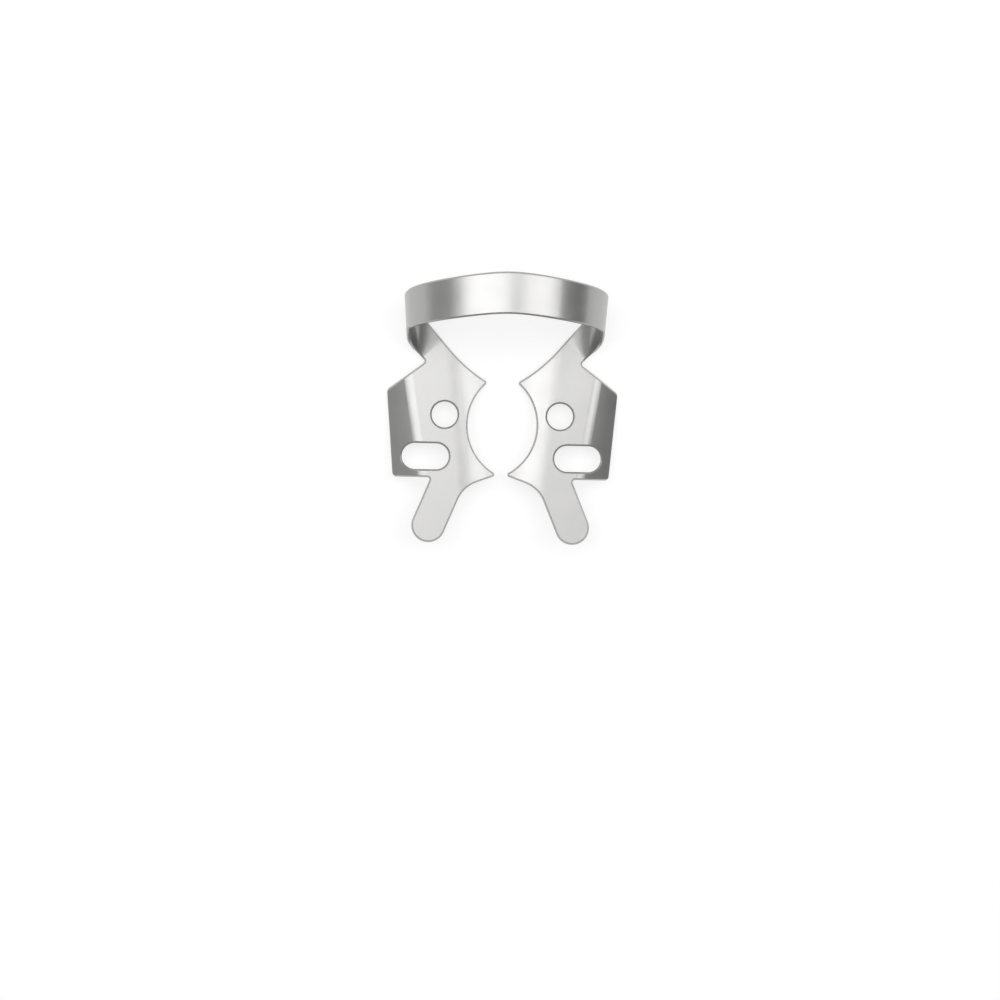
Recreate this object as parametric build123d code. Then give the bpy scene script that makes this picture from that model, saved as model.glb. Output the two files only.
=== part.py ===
"""Rubber dam clamp for a molar: one blank of spring-steel sheet, punched and then formed.

Modelled with the jaws level: X across the jaws, +Y to the back where the bow stands, Z up from the
middle of the sheet. The finished clamp is then laid down as it rests on a table. Millimetres, degrees.
"""
from build123d import *
import math
import os

# Sheet
SHEET = 0.6
EDGE_BREAK = 0.16

# Bow: a flat crown arc, two round shoulders and two legs, drawn on the middle of the sheet
BOW_HALF_WIDTH = 9.875
BOW_HEIGHT = 12.5
CROWN_RADIUS = 14.0
SHOULDER_RADIUS = 7.5
BOW_BAND = 4.2
LEG_BAND = 3.7
CROWN_BACK = 15.25
LEG_TOE_IN = 0.3
LEG_STRAIGHT = 0.6

# Sweep of the bow's strip in the flat blank: each half runs forward from the crown to its neck
BOW_SWEEP = 10.5
BOW_SWEEP_EASE = 3.0

# Neck: where the jaw runs out into the bend that rises to the bow, its front corner inside the leg
NECK_INSET = 1.775
NECK_FRONT_Y = 6.62
NECK_WIDTH = 2.66
NECK_HEADING = 49.0
NECK_STRAIGHT = 1.2
BEND_FRONT_RUN = 2.4
NOTCH_RADIUS = 0.25

# Jaw: prongs and the round gap that takes the tooth
BACK_PRONG_X = 1.45
BACK_PRONG_Y = 4.3
FRONT_PRONG_X = 0.3
FRONT_PRONG_Y = -4.95
TOOTH_GAP_X = 3.45
PRONG_TIP_RADIUS = 0.25

# Inner margin, turned down to grip below the tooth's widest part, from inside the neck's back corner
MARGIN_INSET = 0.2
MARGIN_RADIUS = 10.0
MARGIN_ANGLE = 17.0
MARGIN_SKEW = 6.0

# Anterior wing: the flat finger that points forward, its end set in from the flap's bend and its root
# rounded by a share of the prong's underside
FINGER_WIDTH = 3.4
FINGER_SPLAY = 22.6
FINGER_INSET = 0.2
FINGER_END_Y = -10.1
FINGER_ROOT_ANGLE = 20.0
FINGER_ROOT_SHARE = 0.875

# Lateral wing: the flap bent down along the jaw's outer side, then curling on to its outer edge
FLAP_BEND_INSET = 2.475
FLAP_BEND_RADIUS = 2.0
FLAP_BEND_ANGLE = 24.0
FLAP_BEND_SKEW = 9.0
FLAP_CURL_RADIUS = 11.0
FLAP_FRONT_Y = -5.3
FLAP_FRONT_WIDTH = 3.35
FLAP_BACK_WIDTH = 4.1
FLAP_BACK_Y = 3.45
FLAP_CORNER_RADIUS = 0.4
FLAP_ROOT_RADIUS = 0.25

# Punched openings: the forceps hole beside the tooth gap, and the slot across the flap's bend
HOLE_DIAMETER = 2.6
HOLE_LAND = 1.03
HOLE_Y = 1.0
SLOT_LENGTH = 4.7
SLOT_WIDTH = 2.6
SLOT_SHIFT = 0.22
SLOT_Y = -3.2

# Sections along each stretch of the bow's strip
BEND_STEPS = 8
LEG_STEPS = 2
SHOULDER_STEPS = 6
CROWN_STEPS = 2

# Cutters and raw sheets reach past the widest part of the clamp, and the flap is trimmed from a longer one
REACH = 2 * (BOW_HALF_WIDTH + FINGER_WIDTH - FINGER_END_Y)
FLAP_OVERRUN = 2.0

# Upward share of the normal that tells a face of the sheet from its cut edge
FACE_UPWARD = 0.5

# Steps of the search for the resting tilt, coarse to fine, and how many are tried on each side
TILT_STEPS = (2.0, 0.2, 0.02)
TILT_TRIES = 10


def heading(angle):
    """Unit vector in plan, at an angle from +X towards +Y."""
    return Vector(math.cos(math.radians(angle)), math.sin(math.radians(angle)), 0)


def slope(angle):
    return math.tan(math.radians(angle))


# Neck end face: square to the strip that runs out through it
neck_out = heading(NECK_HEADING)
neck_across = heading(NECK_HEADING + 90)
neck_front = Vector(BOW_HALF_WIDTH - NECK_INSET, NECK_FRONT_Y, 0)
neck_back = neck_front + neck_across * NECK_WIDTH
margin_start = neck_back.rotate(Axis.Z, MARGIN_SKEW).X - MARGIN_INSET

# Shoulder arc: tangent to the crown arc and to the upright leg
shoulder_x = BOW_HALF_WIDTH - SHOULDER_RADIUS
crown_z = BOW_HEIGHT - CROWN_RADIUS
leg_top_z = crown_z + math.sqrt((CROWN_RADIUS - SHOULDER_RADIUS) ** 2 - shoulder_x**2)
shoulder_end = math.degrees(math.atan2(leg_top_z - crown_z, shoulder_x))

# Runs along the strip, from the middle of the crown to the shoulder and to the top of the leg
crown_run = CROWN_RADIUS * math.radians(90 - shoulder_end)
leg_run = crown_run + SHOULDER_RADIUS * math.radians(shoulder_end)
leg_sweep = slope(BOW_SWEEP) * leg_run / math.hypot(leg_run, BOW_SWEEP_EASE)
bend_top_z = leg_top_z - LEG_STRAIGHT

# Flap bend: a line on the plate, with its own directions along and across
flap_bend_x = BOW_HALF_WIDTH - FLAP_BEND_INSET
bend_start = Vector(flap_bend_x, FLAP_FRONT_Y, 0)
bend_along = heading(90 - FLAP_BEND_SKEW)
bend_across = heading(-FLAP_BEND_SKEW)

# Middles of the punched openings
hole_x = TOOTH_GAP_X + HOLE_LAND + HOLE_DIAMETER / 2
slot_x = flap_bend_x + SLOT_SHIFT


def jaw_outline():
    """Plan of the right jaw, from the neck round the prongs, the finger and the flap."""
    finger_along = heading(FINGER_SPLAY - 90)
    finger_across = heading(FINGER_SPLAY)
    finger_end = Vector(flap_bend_x - FINGER_INSET, FINGER_END_Y, 0)
    finger_inner = finger_end - finger_across * FINGER_WIDTH / 2
    finger_outer = finger_end + finger_across * FINGER_WIDTH / 2
    finger_tip = finger_end + finger_along * FINGER_WIDTH / 2

    back_prong = Vector(BACK_PRONG_X, BACK_PRONG_Y, 0)
    front_prong = Vector(FRONT_PRONG_X, FRONT_PRONG_Y, 0)
    tooth_gap = Vector(TOOTH_GAP_X, 0, 0)
    neck_end = neck_back - neck_out * NECK_STRAIGHT

    # The prong's underside meets the finger's inner edge here, before the corner is rounded
    rise = -slope(FINGER_ROOT_ANGLE)
    along = finger_inner - front_prong
    back_off = (along.Y - rise * along.X) / (finger_along.Y - rise * finger_along.X)
    finger_root = finger_inner - finger_along * back_off

    flap_root = finger_outer - finger_along * ((finger_outer.Y - FLAP_FRONT_Y) / finger_along.Y)
    flap_back = Vector(flap_bend_x + FLAP_BACK_WIDTH, FLAP_BACK_Y, 0)
    flap_front = Vector(flap_back.X + FLAP_OVERRUN, FLAP_FRONT_Y, 0)
    notch = neck_front - neck_out * 2 * NOTCH_RADIUS
    flap_back_out = flap_back + (flap_back - notch).normalized() * FLAP_OVERRUN

    edges = [
        Line(neck_front, neck_back),
        Line(neck_back, neck_end),
        TangentArc(neck_end, back_prong, tangent=-neck_out),
        ThreePointArc(back_prong, tooth_gap, front_prong),
        Line(front_prong, finger_root),
        Line(finger_root, finger_inner),
        ThreePointArc(finger_inner, finger_tip, finger_outer),
        Line(finger_outer, flap_root),
        Polyline(flap_root, flap_front, flap_back_out, notch, neck_front),
    ]
    outline = make_face(edges)
    rounded = [
        (back_prong, PRONG_TIP_RADIUS),
        (front_prong, PRONG_TIP_RADIUS),
        (finger_root, FINGER_ROOT_SHARE * (finger_root - front_prong).length),
        (flap_root, FLAP_ROOT_RADIUS),
        (notch, NOTCH_RADIUS),
    ]
    for corner, radius in rounded:
        vertex = outline.vertices().sort_by_distance(corner)[0]
        outline = fillet(vertex, radius)
    return outline


def plate_sheet():
    """Level sheet whose inner margin turns down towards the tooth."""
    turn = CenterArc((margin_start, -MARGIN_RADIUS), MARGIN_RADIUS, 90, MARGIN_ANGLE)
    inner = Line(turn @ 1, turn @ 1 + (turn % 1) * margin_start)
    level = Line((REACH, 0), turn @ 0)
    profile = trace(level + turn + inner, SHEET)
    return Rot(Z=-MARGIN_SKEW) * extrude(Plane.XZ * profile, REACH, both=True)


def flap_sheet():
    """Sheet that leaves the plate at the bend line, turns down and curls on to the flap's outer edge."""
    across = Plane(bend_start, x_dir=bend_across, z_dir=-bend_along)
    turn = CenterArc((0, -FLAP_BEND_RADIUS), FLAP_BEND_RADIUS, 90, -FLAP_BEND_ANGLE)
    steep = 90 - FLAP_BEND_ANGLE
    centre = turn @ 1 - heading(steep) * FLAP_CURL_RADIUS
    curl = CenterArc(centre, FLAP_CURL_RADIUS, steep, -steep)
    sheet = extrude(across * trace(turn + curl, SHEET), REACH, both=True)

    def on_flap(x, y):
        """Point of the curl over a place in plan, and its direction from the middle of the curl."""
        out = (Vector(x, y, 0) - bend_start).dot(bend_across) - centre.X
        rise = math.sqrt(FLAP_CURL_RADIUS**2 - out**2)
        return Vector(x, y, centre.Y + rise), bend_across * out + Vector(0, 0, rise)

    front, front_normal = on_flap(flap_bend_x + FLAP_FRONT_WIDTH, FLAP_FRONT_Y)
    back, back_normal = on_flap(flap_bend_x + FLAP_BACK_WIDTH, FLAP_BACK_Y)
    edge = (back - front).normalized()
    inward = Plane(front, x_dir=edge, z_dir=(front_normal + back_normal).cross(edge))
    keep = inward * Box(4 * REACH, 4 * REACH, REACH, align=(Align.CENTER, Align.CENTER, Align.MIN))
    return sheet & keep, front, back


def rim_edges(solid, upward):
    """Edges round the upper or lower face of the sheet: each belongs to one such face only."""
    sheet_faces = [face for face in solid.faces() if upward * face.normal_at().Z > FACE_UPWARD]
    edges = [edge for face in sheet_faces for edge in face.edges()]
    return [edge for edge in edges if sum(edge.is_same(other) for other in edges) == 1]


def make_jaw():
    outline = jaw_outline()
    zone = Polyline(
        bend_start - bend_along * FLAP_ROOT_RADIUS,
        bend_start + bend_along * REACH,
        Vector(REACH, REACH, 0),
        Vector(REACH, FLAP_FRONT_Y - FLAP_ROOT_RADIUS, 0),
        close=True,
    )
    flap_zone = make_face(zone)
    plate = plate_sheet() & extrude(outline - flap_zone, REACH, both=True)
    sheet, outer_front, outer_back = flap_sheet()
    flap = sheet & extrude(outline & flap_zone, REACH, both=True)
    jaw = plate + flap

    corners = []
    for point in (outer_front, outer_back):
        upright = [e for e in jaw.edges() if e.length < 2 * SHEET]
        corners.append(min(upright, key=lambda e: (e.center() - point).length))
    jaw = fillet(corners, FLAP_CORNER_RADIUS)

    jaw -= Pos(hole_x, HOLE_Y) * Cylinder(HOLE_DIAMETER / 2, REACH)
    jaw -= Pos(slot_x, SLOT_Y) * extrude(SlotOverall(SLOT_LENGTH, SLOT_WIDTH), REACH, both=True)

    neck_plane = Plane(neck_front, z_dir=neck_out)
    for upward in (1, -1):
        rim = rim_edges(jaw, upward)
        rim = [e for e in rim if abs(neck_plane.to_local_coords(e.center()).Z) > SHEET / 100]
        jaw = chamfer(rim, EDGE_BREAK)
    return jaw


def strip_back(run):
    """Y of the strip's back edge, at a run along it from the middle of the crown."""
    return CROWN_BACK - slope(BOW_SWEEP) * (math.hypot(run, BOW_SWEEP_EASE) - BOW_SWEEP_EASE)


def bend_point(start, leg_x, leg_y, lean, turn):
    """Point on one edge of the strip as it turns from the level neck, 0, into the leaning leg, 90."""
    angle = math.radians(turn)
    span = leg_x - start.X
    x = start.X + span * math.sin(angle)
    z = bend_top_z * (1 - math.cos(angle))

    # Hermite curve in y: leaves along the neck's heading and arrives with the leg's lean
    part = turn / 90
    leave = span * slope(NECK_HEADING) * math.pi / 2
    arrive = bend_top_z * lean * math.pi / 2
    y = start.Y * (1 + 2 * part) * (1 - part) ** 2
    y += leg_y * part**2 * (3 - 2 * part)
    y += leave * part * (1 - part) ** 2
    y -= arrive * part**2 * (1 - part)
    return Vector(x, y, z)


def leg_edges(climb):
    """Front and back points of the leg, at a climb from the top of the bend."""
    z = bend_top_z + climb
    front_y = neck_front.Y + BEND_FRONT_RUN
    flare = (strip_back(leg_run) - LEG_BAND - front_y) / LEG_STRAIGHT
    front = Vector(BOW_HALF_WIDTH - LEG_TOE_IN, front_y + flare * climb, z)
    back = Vector(BOW_HALF_WIDTH, strip_back(leg_run + LEG_STRAIGHT - climb), z)
    return front, back, flare


def strip_edges(stretch, turn):
    """Front and back points of the strip on one stretch of the right half, by its turn or climb."""
    if stretch == "bend":
        leg_front, leg_back, flare = leg_edges(0)
        front = bend_point(neck_front, leg_front.X, leg_front.Y, flare, turn)
        back = bend_point(neck_back, leg_back.X, leg_back.Y, leg_sweep, turn)
        return front, back
    if stretch == "leg":
        front, back, _ = leg_edges(turn)
        return front, back
    around = heading(turn)
    if stretch == "shoulder":
        x = shoulder_x + SHOULDER_RADIUS * around.X
        z = leg_top_z + SHOULDER_RADIUS * around.Y
        run = crown_run + SHOULDER_RADIUS * math.radians(shoulder_end - turn)
    else:
        x = CROWN_RADIUS * around.X
        z = crown_z + CROWN_RADIUS * around.Y
        run = CROWN_RADIUS * math.radians(90 - turn)
    back = Vector(x, strip_back(run), z)
    taper = (run / leg_run) ** 2
    band = BOW_BAND + (LEG_BAND - BOW_BAND) * taper
    return back - Vector(LEG_TOE_IN * taper, band, 0), back


def strip_section(stretch, turn):
    """Section of the strip with broken edges, square to its faces."""
    nudge = 0.01
    front, back = strip_edges(stretch, turn)
    before = sum(strip_edges(stretch, turn - nudge), Vector()) / 2
    after = sum(strip_edges(stretch, turn + nudge), Vector()) / 2
    across = (back - front).normalized()
    inside = (after - before).cross(across).normalized()
    plane = Plane((front + back) / 2, x_dir=across, z_dir=across.cross(inside))
    band = Rectangle((back - front).length, SHEET)
    return plane * chamfer(band.vertices(), EDGE_BREAK)


def make_bow():
    """The strip from neck to neck, lofted through its sections."""
    stations = [("bend", 90 * i / BEND_STEPS) for i in range(BEND_STEPS)]
    stations += [("leg", LEG_STRAIGHT * i / LEG_STEPS) for i in range(LEG_STEPS)]
    stations += [("shoulder", shoulder_end * i / SHOULDER_STEPS) for i in range(SHOULDER_STEPS)]
    crown_turn = 90 - shoulder_end
    stations += [("crown", shoulder_end + crown_turn * i / CROWN_STEPS) for i in range(CROWN_STEPS)]
    right = [strip_section(*station) for station in stations]
    left = [mirror(section, Plane.YZ) for section in reversed(right)]
    return loft(right + [strip_section("crown", 90)] + left)


def resting_tilt(solid):
    """Turn about X that brings the centre of mass as low over the table as it can lie."""
    centre = solid.center(CenterOf.MASS)
    points, _ = solid.tessellate(SHEET / 20)
    below = [(centre.Y - point.Y, centre.Z - point.Z) for point in points]

    def height(tilt):
        side, down = math.sin(math.radians(tilt)), math.cos(math.radians(tilt))
        return max(side * y + down * z for y, z in below)

    tilt = 0.0
    for step in TILT_STEPS:
        tilts = [tilt + step * count for count in range(-TILT_TRIES, TILT_TRIES + 1)]
        tilt = min(tilts, key=height)
    return tilt


def lay_down(solid):
    """Place of the resting clamp: on the table, with the middle of its box over the origin."""
    turned = Rot(X=resting_tilt(solid))
    box = (turned * solid).bounding_box()
    return Pos(-box.center().X, -box.center().Y, -box.min.Z) * turned


jaw = make_jaw()
clamp = make_bow() + jaw + mirror(jaw, Plane.YZ)
place = lay_down(clamp)
forceps_hole = place * Pos(hole_x, HOLE_Y)
print("forceps hole, middle of the sheet", forceps_hole.position, "turned", forceps_hole.orientation)

os.makedirs("parts", exist_ok=True)
export_step(place * clamp, "parts/clamp.step")
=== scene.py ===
"""Looks for a rubber dam clamp: the finish of its formed spring steel, and the stage that shows it.

The clamp lies as it rests on a table, in metres. +Y is its back, where the bow stands.
"""

import math

import bmesh
import bpy
from bpy.props import FloatProperty, FloatVectorProperty, PointerProperty
from mathutils import Matrix, Vector

bl_info = {
    "name": "Rubber Dam Clamp",
    "version": (1, 0, 0),
    "blender": (4, 5, 0),
    "location": "View3D > Sidebar > Clamp",
    "description": "Finishes a formed spring-steel clamp and sets the stage that shows it",
    "category": "Object",
}

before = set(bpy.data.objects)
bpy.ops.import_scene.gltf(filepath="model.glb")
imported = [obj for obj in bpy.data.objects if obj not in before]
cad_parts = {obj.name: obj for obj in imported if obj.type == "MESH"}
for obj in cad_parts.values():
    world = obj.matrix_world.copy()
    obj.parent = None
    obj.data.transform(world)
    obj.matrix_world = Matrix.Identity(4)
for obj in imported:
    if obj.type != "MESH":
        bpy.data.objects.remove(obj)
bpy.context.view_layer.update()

# Grid on which shader nodes are laid out
NODE_COLUMN = 220
NODE_ROW = 260

# The camera's sensor, in millimetres, and the side of the square picture
SENSOR_WIDTH = 36.0
PICTURE_PIXELS = 1000

# Where the camera's view starts and ends, as shares of its distance
CLIP_START = 0.01
CLIP_END = 10.0

# Corners of a disc that has to look round
DISC_CORNERS = 128

# Finer layers of the clouds in the steel, and how strong each is beside the one before
CLOUD_LAYERS = 3.0
CLOUD_FADE = 0.55

# Values of the clouds at which the steel is best polished and dullest
CLOUD_POLISHED = 0.3
CLOUD_DULL = 0.7

# Plain finishes in the stage
FLOOR_ROUGHNESS = 0.9
WHITE = (1.0, 1.0, 1.0)
BLACK = (0.0, 0.0, 0.0)


class ClampSteel(bpy.types.PropertyGroup):
    """Satin finish of the spring steel and the softness of its tumbled edges."""

    colour_light: FloatVectorProperty(
        name="Light steel",
        description="Colour of the steel where the tumbling left it clean",
        subtype="COLOR",
        min=0.0,
        max=1.0,
        default=(0.425, 0.421, 0.414),
    )
    colour_dark: FloatVectorProperty(
        name="Dark steel",
        description="Colour of the steel in its faint clouds",
        subtype="COLOR",
        min=0.0,
        max=1.0,
        default=(0.385, 0.385, 0.385),
    )
    smoothest: FloatProperty(
        name="Smoothest",
        description="Roughness on the best polished patches",
        subtype="FACTOR",
        min=0.0,
        max=1.0,
        default=0.285,
    )
    roughest: FloatProperty(
        name="Roughest",
        description="Roughness on the dullest patches",
        subtype="FACTOR",
        min=0.0,
        max=1.0,
        default=0.335,
    )
    cloud_size: FloatProperty(
        name="Cloud size",
        description="Width of a faint cloud in the finish",
        unit="LENGTH",
        default=0.0022,
    )
    edge_radius: FloatProperty(
        name="Edge radius",
        description="Radius to which the shading softens each broken edge",
        unit="LENGTH",
        default=0.00006,
    )


class ClampStage(bpy.types.PropertyGroup):
    """Floor, light and camera."""

    floor_colour: FloatVectorProperty(
        name="Floor",
        description="Colour of the floor",
        subtype="COLOR",
        min=0.0,
        max=1.0,
        default=(0.35, 0.35, 0.35),
    )
    floor_radius: FloatProperty(
        name="Floor radius",
        description="Radius of the round floor",
        unit="LENGTH",
        default=1.5,
    )
    floor_white: FloatProperty(
        name="Floor white",
        description="White that the floor shows beside the light that falls on it",
        default=0.7,
    )
    softbox_width: FloatProperty(
        name="Softbox width",
        description="Width of the softbox, across the jaws",
        unit="LENGTH",
        default=0.537,
    )
    softbox_depth: FloatProperty(
        name="Softbox depth",
        description="Depth of the softbox, along the jaws",
        unit="LENGTH",
        default=0.2,
    )
    softbox_distance: FloatProperty(
        name="Softbox distance",
        description="Distance from the clamp to the softbox, along the line of sight",
        unit="LENGTH",
        default=0.3,
    )
    softbox_shift: FloatProperty(
        name="Softbox shift",
        description="Distance of the softbox to the right of the line of sight",
        unit="LENGTH",
        default=0.0565,
    )
    softbox_rise: FloatProperty(
        name="Softbox rise",
        description="Distance of the softbox to the back of the line of sight",
        unit="LENGTH",
        default=0.06,
    )
    softbox_radiance: FloatProperty(
        name="Softbox brightness",
        description="Brightness of the softbox as a mirror would show it",
        default=2.55,
    )
    lens_radius: FloatProperty(
        name="Lens radius",
        description="Radius of the grey lens opening in the softbox",
        unit="LENGTH",
        default=0.037,
    )
    lens_shift: FloatProperty(
        name="Lens shift",
        description="Distance of the lens opening to the right of the line of sight",
        unit="LENGTH",
        default=0.057,
    )
    lens_gap: FloatProperty(
        name="Lens gap",
        description="Distance of the lens opening in front of the softbox",
        unit="LENGTH",
        default=0.0037,
    )
    lens_grey: FloatProperty(
        name="Lens grey",
        description="Brightness of the lens opening",
        default=0.45,
    )
    room_left: FloatVectorProperty(
        name="Room, left",
        description="Colour of the room to the left of the softbox",
        subtype="COLOR",
        min=0.0,
        max=1.0,
        default=(0.56, 0.56, 0.56),
    )
    room_right: FloatVectorProperty(
        name="Room, right",
        description="Colour of the room to the right of the softbox",
        subtype="COLOR",
        min=0.0,
        max=1.0,
        default=(0.32, 0.32, 0.32),
    )
    view_tilt: FloatProperty(
        name="View tilt",
        description="How far the line of sight leans back from straight down, to look square on the jaws",
        subtype="ANGLE",
        default=math.radians(11.36),
    )
    view_turn: FloatProperty(
        name="View turn",
        description="Turn of the line of sight to the left of the clamp",
        subtype="ANGLE",
        default=math.radians(2.65),
    )
    view_roll: FloatProperty(
        name="View roll",
        description="Roll of the picture",
        subtype="ANGLE",
        default=math.radians(1.1),
    )
    view_width: FloatProperty(
        name="View width",
        description="Width of the picture at the jaws",
        unit="LENGTH",
        default=0.1,
    )
    lens_length: FloatProperty(
        name="Lens",
        description="Focal length, in millimetres",
        default=600.0,
    )
    aim: FloatVectorProperty(
        name="Aim",
        description="Point between the jaws that the camera is set by",
        subtype="TRANSLATION",
        unit="LENGTH",
        default=(0.0, -0.0029223, 0.0020071),
    )
    aim_pixel: FloatVectorProperty(
        name="Aim pixel",
        description="Place of that point in the picture, from its top left corner",
        size=2,
        default=(502.1, 425.6),
    )


def new_node(tree, kind, column, row, **settings):
    """Add a shader node at a place on the grid."""
    node = tree.nodes.new(kind)
    node.location = (column * NODE_COLUMN, -row * NODE_ROW)
    for name, value in settings.items():
        setattr(node, name, value)
    return node


def new_material(name):
    """Start a material from its Principled shader and its output alone."""
    material = bpy.data.materials.new(name)
    material.use_nodes = True
    tree = material.node_tree
    return material, tree, tree.nodes["Principled BSDF"]


def opaque(colour):
    """Colour with full alpha, as a shader's socket takes it."""
    return (*colour, 1.0)


def satin_steel(steel):
    """Spring steel, polished and tumbled: faint clouds in its colour and its shine, and soft edges."""
    material, tree, shader = new_material("satin_spring_steel")
    link = tree.links.new
    shader.location = (3 * NODE_COLUMN, 0)
    shader.inputs["Metallic"].default_value = 1.0

    place = new_node(tree, "ShaderNodeTexCoord", 0, 0)
    clouds = new_node(tree, "ShaderNodeTexNoise", 1, 0)
    clouds.inputs["Scale"].default_value = 1 / steel.cloud_size
    clouds.inputs["Detail"].default_value = CLOUD_LAYERS
    clouds.inputs["Roughness"].default_value = CLOUD_FADE
    link(place.outputs["Object"], clouds.inputs["Vector"])

    tint = new_node(tree, "ShaderNodeMix", 2, 0, data_type="RGBA")
    tint.inputs["A"].default_value = opaque(steel.colour_dark)
    tint.inputs["B"].default_value = opaque(steel.colour_light)
    link(clouds.outputs["Fac"], tint.inputs["Factor"])
    link(tint.outputs["Result"], shader.inputs["Base Color"])

    dullness = new_node(tree, "ShaderNodeMapRange", 2, 1)
    dullness.inputs["From Min"].default_value = CLOUD_POLISHED
    dullness.inputs["From Max"].default_value = CLOUD_DULL
    dullness.inputs["To Min"].default_value = steel.smoothest
    dullness.inputs["To Max"].default_value = steel.roughest
    link(clouds.outputs["Fac"], dullness.inputs["Value"])
    link(dullness.outputs["Result"], shader.inputs["Roughness"])

    edge = new_node(tree, "ShaderNodeBevel", 2, 2)
    edge.inputs["Radius"].default_value = steel.edge_radius
    link(edge.outputs["Normal"], shader.inputs["Normal"])
    return material


def line_of_sight(stage):
    """Right, up and towards-the-eye directions of the picture."""
    right = Vector((1, 0, 0))
    up = Vector((0, math.cos(stage.view_tilt), -math.sin(stage.view_tilt)))
    near = right.cross(up)
    turn = Matrix.Rotation(-stage.view_turn, 3, up)
    right, near = turn @ right, turn @ near
    roll = Matrix.Rotation(stage.view_roll, 3, near)
    return roll @ right, roll @ up, near


def pose_matrix(right, up, near, place):
    """Matrix of a camera or lamp that looks against near, with up at the top."""
    turn = Matrix((right, up, near)).transposed().to_4x4()
    return Matrix.Translation(place) @ turn


def add_disc(name, radius, turn, material):
    """A flat round disc in the stage, not part of the clamp."""
    shape = bmesh.new()
    bmesh.ops.create_circle(shape, cap_ends=True, segments=DISC_CORNERS, radius=radius)
    bmesh.ops.transform(shape, matrix=turn, verts=shape.verts)
    mesh = bpy.data.meshes.new(name)
    shape.to_mesh(mesh)
    shape.free()
    mesh.materials.append(material)
    disc = bpy.data.objects.new(name, mesh)
    bpy.context.scene.collection.objects.link(disc)
    return disc


def pale_floor(stage):
    """White sheet that keeps the clamp's shadow and is as white in the steel as to the eye."""
    material, tree, shader = new_material("pale_floor")
    link = tree.links.new
    shader.inputs["Base Color"].default_value = opaque(stage.floor_colour)
    shader.inputs["Roughness"].default_value = FLOOR_ROUGHNESS
    shader.inputs["Emission Color"].default_value = opaque(WHITE)

    path = new_node(tree, "ShaderNodeLightPath", -4, 0)
    seen = new_node(tree, "ShaderNodeMath", -3, 0, operation="ADD")
    link(path.outputs["Is Camera Ray"], seen.inputs[0])
    link(path.outputs["Is Glossy Ray"], seen.inputs[1])
    shown = new_node(tree, "ShaderNodeMath", -2, 0, operation="ADD", use_clamp=True)
    link(seen.outputs["Value"], shown.inputs[0])
    link(path.outputs["Is Transmission Ray"], shown.inputs[1])
    white = new_node(tree, "ShaderNodeMath", -1, 0, operation="MULTIPLY")
    white.inputs[1].default_value = stage.floor_white
    link(shown.outputs["Value"], white.inputs[0])
    link(white.outputs["Value"], shader.inputs["Emission Strength"])
    return material


def lens_material(stage):
    """Grey of the lens opening, as the steel mirrors it."""
    material, _, shader = new_material("lens_grey")
    shader.inputs["Base Color"].default_value = opaque(BLACK)
    shader.inputs["Emission Color"].default_value = opaque(WHITE)
    shader.inputs["Emission Strength"].default_value = stage.lens_grey
    return material


def add_softbox(stage, axes):
    """Wide softbox over the jaws, to the right and the back, with the grey lens opening before it."""
    right, up, near = axes
    sight = Vector(stage.aim) + near * stage.softbox_distance
    centre = sight + right * stage.softbox_shift + up * stage.softbox_rise
    lamp = bpy.data.lights.new("softbox", "AREA")
    lamp.shape = "RECTANGLE"
    lamp.size = stage.softbox_width
    lamp.size_y = stage.softbox_depth
    lamp.energy = stage.softbox_radiance * math.pi * stage.softbox_width * stage.softbox_depth
    softbox = bpy.data.objects.new("softbox", lamp)
    softbox.matrix_world = pose_matrix(right, up, near, centre)
    softbox.visible_camera = False
    bpy.context.scene.collection.objects.link(softbox)

    front = sight + right * stage.lens_shift - near * stage.lens_gap
    turn = pose_matrix(right, up, near, front)
    opening = add_disc("lens_opening", stage.lens_radius, turn, lens_material(stage))
    opening.visible_camera = False
    opening.visible_diffuse = False


def light_room(stage):
    """Grey room round the softbox, paler on the left."""
    world = bpy.data.worlds.new("room")
    world.use_nodes = True
    tree = world.node_tree
    link = tree.links.new
    place = new_node(tree, "ShaderNodeTexCoord", -4, 0)
    axes = new_node(tree, "ShaderNodeSeparateXYZ", -3, 0)
    link(place.outputs["Generated"], axes.inputs["Vector"])
    across = new_node(tree, "ShaderNodeMapRange", -2, 0)
    across.inputs["From Min"].default_value = -1.0
    link(axes.outputs["X"], across.inputs["Value"])
    grey = new_node(tree, "ShaderNodeMix", -1, 0, data_type="RGBA")
    grey.inputs["A"].default_value = opaque(stage.room_left)
    grey.inputs["B"].default_value = opaque(stage.room_right)
    link(across.outputs["Result"], grey.inputs["Factor"])
    link(grey.outputs["Result"], tree.nodes["Background"].inputs["Color"])
    bpy.context.scene.world = world


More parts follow.
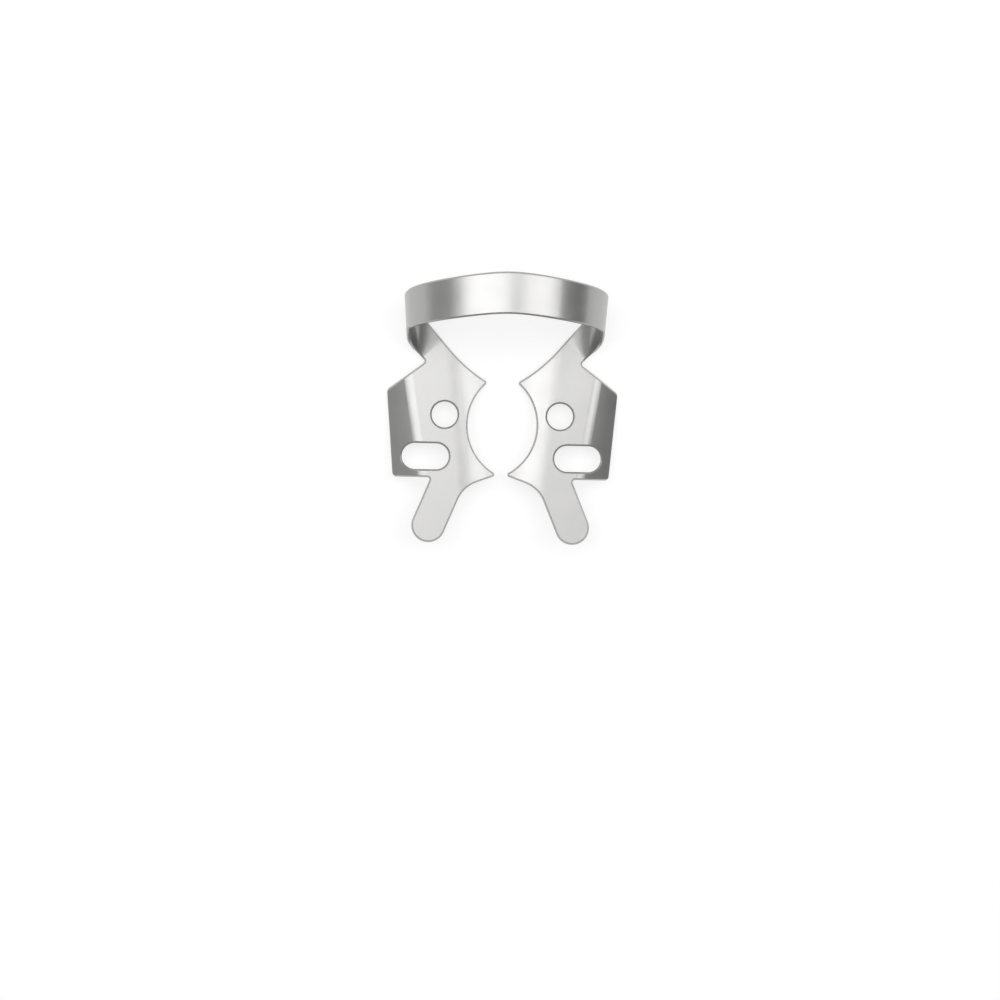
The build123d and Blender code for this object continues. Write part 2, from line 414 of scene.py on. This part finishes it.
def add_camera(stage, axes):
    """Long-lens camera that shows the aim at its own pixel."""
    right, up, near = axes
    pixel = stage.view_width / PICTURE_PIXELS
    across = (stage.aim_pixel[0] - PICTURE_PIXELS / 2) * pixel
    above = (PICTURE_PIXELS / 2 - stage.aim_pixel[1]) * pixel
    centre = Vector(stage.aim) - right * across - up * above
    distance = stage.view_width * stage.lens_length / SENSOR_WIDTH

    camera = bpy.data.cameras.new("camera")
    camera.sensor_width = SENSOR_WIDTH
    camera.lens = stage.lens_length
    camera.clip_start = distance * CLIP_START
    camera.clip_end = distance * CLIP_END
    eye = bpy.data.objects.new("camera", camera)
    eye.matrix_world = pose_matrix(right, up, near, centre + near * distance)
    bpy.context.scene.collection.objects.link(eye)
    bpy.context.scene.camera = eye


class CLAMP_OT_finish_steel(bpy.types.Operator):
    """Give the formed clamp its tumbled edges and its satin steel"""

    bl_idname = "clamp.finish_steel"
    bl_label = "Finish the steel"

    def execute(self, context):
        steel = context.scene.clamp_steel
        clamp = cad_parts["clamp"]
        clamp.material_slots[0].material = satin_steel(steel)
        return {"FINISHED"}


class CLAMP_OT_set_stage(bpy.types.Operator):
    """Lay the floor, hang the softbox and set the camera"""

    bl_idname = "clamp.set_stage"
    bl_label = "Set the stage"

    def execute(self, context):
        stage = context.scene.clamp_stage
        axes = line_of_sight(stage)
        add_disc("floor", stage.floor_radius, Matrix.Identity(4), pale_floor(stage))
        add_softbox(stage, axes)
        light_room(stage)
        add_camera(stage, axes)
        context.scene.view_settings.view_transform = "Standard"
        return {"FINISHED"}


class CLAMP_PT_sidebar(bpy.types.Panel):
    """Sizes and colours of the clamp and its stage"""

    bl_idname = "CLAMP_PT_sidebar"
    bl_label = "Rubber dam clamp"
    bl_space_type = "VIEW_3D"
    bl_region_type = "UI"
    bl_category = "Clamp"

    def draw(self, context):
        groups = (
            (context.scene.clamp_steel, CLAMP_OT_finish_steel),
            (context.scene.clamp_stage, CLAMP_OT_set_stage),
        )
        for group, operator in groups:
            box = self.layout.box()
            for name in group.__annotations__:
                box.prop(group, name)
            box.operator(operator.bl_idname)


CLASSES = (ClampSteel, ClampStage, CLAMP_OT_finish_steel, CLAMP_OT_set_stage, CLAMP_PT_sidebar)


def register():
    for cls in CLASSES:
        bpy.utils.register_class(cls)
    bpy.types.Scene.clamp_steel = PointerProperty(type=ClampSteel)
    bpy.types.Scene.clamp_stage = PointerProperty(type=ClampStage)


def unregister():
    del bpy.types.Scene.clamp_stage
    del bpy.types.Scene.clamp_steel
    for cls in reversed(CLASSES):
        bpy.utils.unregister_class(cls)


def main():
    register()
    bpy.ops.clamp.finish_steel()
    bpy.ops.clamp.set_stage()


if __name__ == "__main__":
    main()
